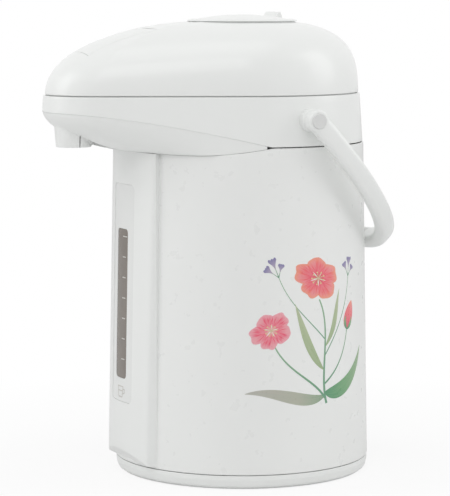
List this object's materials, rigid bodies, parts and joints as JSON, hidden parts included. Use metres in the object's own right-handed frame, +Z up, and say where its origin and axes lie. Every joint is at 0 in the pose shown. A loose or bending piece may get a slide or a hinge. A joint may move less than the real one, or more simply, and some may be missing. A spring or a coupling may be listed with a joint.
{
  "type": "electric thermo pot",
  "caption": "White electric thermo pot on a swivel base, with a spout under its beak, a push plate in the hinged lid, a water gauge, printed flowers and a swinging bail handle.",
  "frame": {"origin": "on the pot's axis, at the table under the rubber foot ring", "axes": "+Z up along the pot's axis, -Y to the spout and the gauge, +X to the right side as seen from the front"},
  "size_m": [0.2038, 0.2573, 0.3316],
  "materials": {
    "white_enamel": "semi gloss",
    "white_plastic": "gloss",
    "pale_grey_plastic": "satin",
    "inlay_film": "satin",
    "smoked_clear": "clear, smoked",
    "clear_tube": "clear",
    "stainless": "brushed",
    "spring_steel": "bright",
    "bearing_steel": "polished",
    "brass": "bright",
    "aluminium": "matt",
    "dark_rubber": "matt",
    "pale_rubber": "matt",
    "inner_plastic": "matt",
    "black_plastic": "satin",
    "cage_plastic": "matt",
    "heater_band": "matt",
    "ceramic": "matt",
    "wire_red": "satin"
  },
  "bodies": {
    "base": {"swivel_base": "white_plastic", "base_pad": "dark_rubber", "pivot_washer": "inner_plastic", "bearing_cage": "cage_plastic", "bearing_balls": "bearing_steel"},
    "pot": {"bottom_cover": "white_plastic", "body_shell": "white_enamel", "gauge_panel": "white_plastic", "scale_inlay": "inlay_film", "gauge_window": "smoked_clear", "gauge_tube": "clear_tube", "tube_seals": "pale_rubber", "outlet_elbow": "inner_plastic", "outlet_gasket": "pale_rubber", "container": "stainless", "mouth_ring": "pale_rubber", "heat_shield": "stainless", "band_heater": "heater_band", "plate_heater": "aluminium", "thermostat": "ceramic", "thermal_fuse": "ceramic", "wiring": "wire_red", "power_inlet": "black_plastic", "inlet_pins": "brass", "tie_rods": "spring_steel", "collar": "white_plastic", "collar_deck": "pale_grey_plastic", "spout_cover": "white_plastic", "beak_insert": "black_plastic", "nozzle": "white_plastic", "spout_pipe": "inner_plastic", "check_valve": "inner_plastic", "hinge_pin": "stainless", "handle_pins": "stainless", "collar_screws": "spring_steel", "base_screws": "spring_steel"},
    "valve": {"check_ball": "bearing_steel"},
    "lid": {"lid_shell": "white_plastic", "lid_base": "pale_grey_plastic", "inner_lid": "stainless", "lid_gasket": "pale_rubber", "bellows": "pale_rubber", "pump_spring": "spring_steel", "pump_valve": "pale_rubber", "lid_screws": "spring_steel", "latch_pin": "stainless", "latch_spring": "spring_steel"},
    "latch": {"lid_latch": "white_plastic"},
    "lock": {"lock_ring": "white_plastic"},
    "plate": {"push_plate": "white_plastic"},
    "bail": {"handle": "white_plastic", "handle_cover": "pale_grey_plastic", "pivot_caps": "pale_grey_plastic"}
  },
  "joints": [
    {"name": "base_swivel", "type": "hinge", "parent": "base", "child": "pot", "pos_m": [0, 0, 0.01], "axis": [0, 0, 1], "continuous": true},
    {"name": "lid_hinge", "type": "hinge", "parent": "pot", "child": "lid", "pos_m": [0, 0.0785, 0.283], "axis": [-1, 0, 0], "range_deg": [0, 82]},
    {"name": "pump_press", "type": "slide", "parent": "lid", "child": "plate", "axis": [0, 0, -1], "range_m": [0, 0.016], "stiffness_N_per_m": 400, "springref_m": -0.005, "deforming": ["bellows", "pump_spring"]},
    {"name": "lock_turn", "type": "hinge", "parent": "lid", "child": "lock", "pos_m": [0, 0, 0.325], "axis": [0, 0, 1], "range_deg": [0, 30]},
    {"name": "latch_lift", "type": "hinge", "parent": "lid", "child": "latch", "pos_m": [0, -0.077, 0.3145], "axis": [-1, 0, 0], "range_deg": [0, 12], "stiffness_Nm_per_rad": 0.1, "springref_deg": -11.46, "deforming": ["latch_spring"]},
    {"name": "handle_swing", "type": "hinge", "parent": "pot", "child": "bail", "pos_m": [0, 0.0104, 0.2575], "axis": [1, 0, 0], "range_deg": [0, 190]},
    {"name": "valve_lift", "type": "slide", "parent": "pot", "child": "valve", "axis": [0, 0, 1], "range_m": [0, 0.002]}
  ]
}
